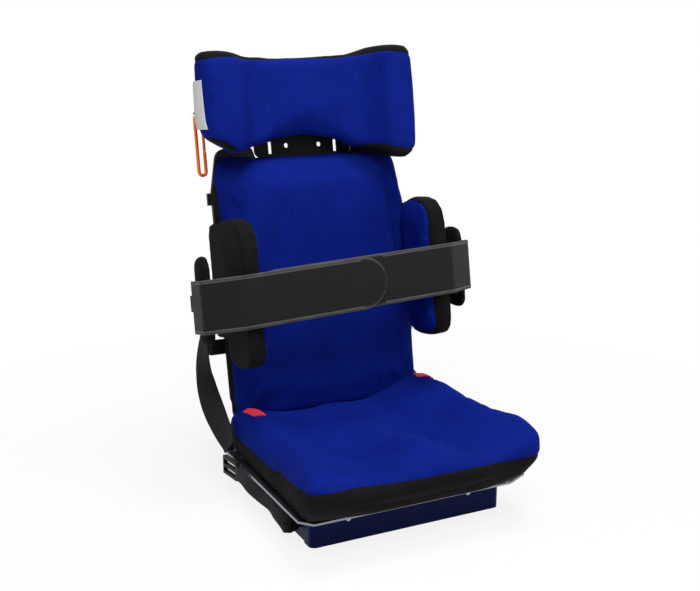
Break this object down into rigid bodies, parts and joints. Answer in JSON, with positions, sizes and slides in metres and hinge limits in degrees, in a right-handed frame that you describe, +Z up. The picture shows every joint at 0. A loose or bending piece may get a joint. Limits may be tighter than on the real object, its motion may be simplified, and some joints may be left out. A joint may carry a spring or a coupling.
{
  "type": "postural support seat",
  "caption": "Child's postural support seat: moulded seat and back cushions on a low steel base, with adjustable side supports, chest strap and winged headrest.",
  "frame": {"origin": "on the floor at the centre of the four base bolts", "axes": "+Z up, +X to the sitter's left (the right of the picture), -Y towards the front of the seat"},
  "size_m": [0.4736, 0.4952, 0.6999],
  "materials": {
    "rubber_mat": "matt",
    "navy_steel": "gloss powder coat",
    "bare_steel": "satin",
    "black_steel": "satin powder coat",
    "zinc_bolts": "satin",
    "blue_fabric": "stretch upholstery",
    "black_fabric": "woven upholstery",
    "strap_neoprene": "stitched neoprene",
    "black_webbing": "woven webbing",
    "black_plastic": "moulded",
    "shell_plastic": "moulded",
    "orange_hook": "gloss"
  },
  "bodies": {
    "base": {"base_mat": "rubber_mat", "base_tray": "navy_steel", "base_front_panel": "navy_steel", "front_panel_screws": "zinc_bolts", "seat_plate": "bare_steel", "seat_plate_bolts": "zinc_bolts", "seat_cushion": "blue_fabric", "hinge_ear_left": "black_steel", "hinge_ear_right": "black_steel", "ear_bolts": "zinc_bolts", "recline_bolts": "zinc_bolts", "ladder_lock_left": "black_plastic", "ladder_lock_right": "black_plastic", "lower_webbing_left": "black_webbing", "lower_webbing_right": "black_webbing"},
    "recline_knob_left": {"recline_knob_left": "black_plastic"},
    "recline_knob_right": {"recline_knob_right": "black_plastic"},
    "backrest": {"back_arm_left": "black_steel", "back_arm_right": "black_steel", "back_arm_bolts": "zinc_bolts", "back_shell": "shell_plastic", "back_cushion": "blue_fabric", "webbing_anchor_left": "black_steel", "webbing_anchor_right": "black_steel", "edge_clips": "black_plastic", "headrest_sleeve": "black_plastic", "upper_webbing_left": "black_webbing", "upper_webbing_right": "black_webbing"},
    "headrest_knob": {"headrest_knob": "black_plastic"},
    "headrest": {"headrest_stem": "black_steel", "headrest_plate": "black_steel", "headrest_spacer": "black_plastic", "headrest_bolts": "zinc_bolts", "headrest_cushion": "blue_fabric", "belt_hook_tab": "black_steel"},
    "belt_hook": {"belt_hook": "orange_hook"},
    "belt_hook_gate": {"belt_hook_gate": "orange_hook"},
    "carriage_left": {"clamp_block_left": "black_plastic"},
    "clamp_knob_left": {"clamp_knob_left": "black_plastic"},
    "lateral_left": {"side_arm_left": "black_steel", "side_pad_left": "black_fabric", "pad_cover_left": "black_fabric", "elbow_pad_left": "black_fabric", "chest_strap_left": "strap_neoprene"},
    "carriage_right": {"clamp_block_right": "black_plastic"},
    "clamp_knob_right": {"clamp_knob_right": "black_plastic"},
    "lateral_right": {"side_arm_right": "black_steel", "side_pad_right": "black_fabric", "pad_cover_right": "black_fabric", "elbow_pad_right": "black_fabric", "chest_strap_right": "strap_neoprene"}
  },
  "joints": [
    {"name": "recline", "type": "hinge", "parent": "base", "child": "backrest", "pos_m": [0, 0.156, 0.06], "axis": [-1, 0, 0], "range_deg": [0, 15]},
    {"name": "recline_knob_left_turn", "type": "hinge", "parent": "base", "child": "recline_knob_left", "pos_m": [-0.165, 0.156, 0.06], "axis": [-1, 0, 0], "continuous": true},
    {"name": "recline_knob_right_turn", "type": "hinge", "parent": "base", "child": "recline_knob_right", "pos_m": [0.165, 0.156, 0.06], "axis": [1, 0, 0], "continuous": true},
    {"name": "headrest_height", "type": "slide", "parent": "backrest", "child": "headrest", "axis": [0, 0.1736, 0.9848], "range_m": [0, 0.1]},
    {"name": "headrest_knob_turn", "type": "hinge", "parent": "backrest", "child": "headrest_knob", "pos_m": [0, 0.22933, 0.45832], "axis": [0, 0.9848, -0.1736], "continuous": true},
    {"name": "belt_hook_swing", "type": "hinge", "parent": "headrest", "child": "belt_hook", "pos_m": [-0.175, 0.24994, 0.59278], "axis": [-1, 0, 0], "range_deg": [-15, 15]},
    {"name": "belt_hook_gate_open", "type": "hinge", "parent": "belt_hook", "child": "belt_hook_gate", "pos_m": [-0.169, 0.24994, 0.59278], "axis": [0, 0.9848, -0.1736], "range_deg": [0, 6.5], "stiffness_Nm_per_rad": 0.05},
    {"name": "support_height_left", "type": "slide", "parent": "backrest", "child": "carriage_left", "axis": [0, 0.1736, 0.9848], "range_m": [-0.04, 0.04]},
    {"name": "clamp_knob_left_turn", "type": "hinge", "parent": "carriage_left", "child": "clamp_knob_left", "pos_m": [-0.11, 0.19757, 0.29434], "axis": [0, 0.9848, -0.1736], "continuous": true},
    {"name": "support_width_left", "type": "slide", "parent": "carriage_left", "child": "lateral_left", "axis": [-1, 0, 0], "range_m": [0, 0.03]},
    {"name": "support_height_right", "type": "slide", "parent": "backrest", "child": "carriage_right", "axis": [0, 0.1736, 0.9848], "range_m": [-0.04, 0.04]},
    {"name": "clamp_knob_right_turn", "type": "hinge", "parent": "carriage_right", "child": "clamp_knob_right", "pos_m": [0.11, 0.20001, 0.30813], "axis": [0, 0.9848, -0.1736], "continuous": true},
    {"name": "support_width_right", "type": "slide", "parent": "carriage_right", "child": "lateral_right", "axis": [1, 0, 0], "range_m": [0, 0.03]}
  ]
}
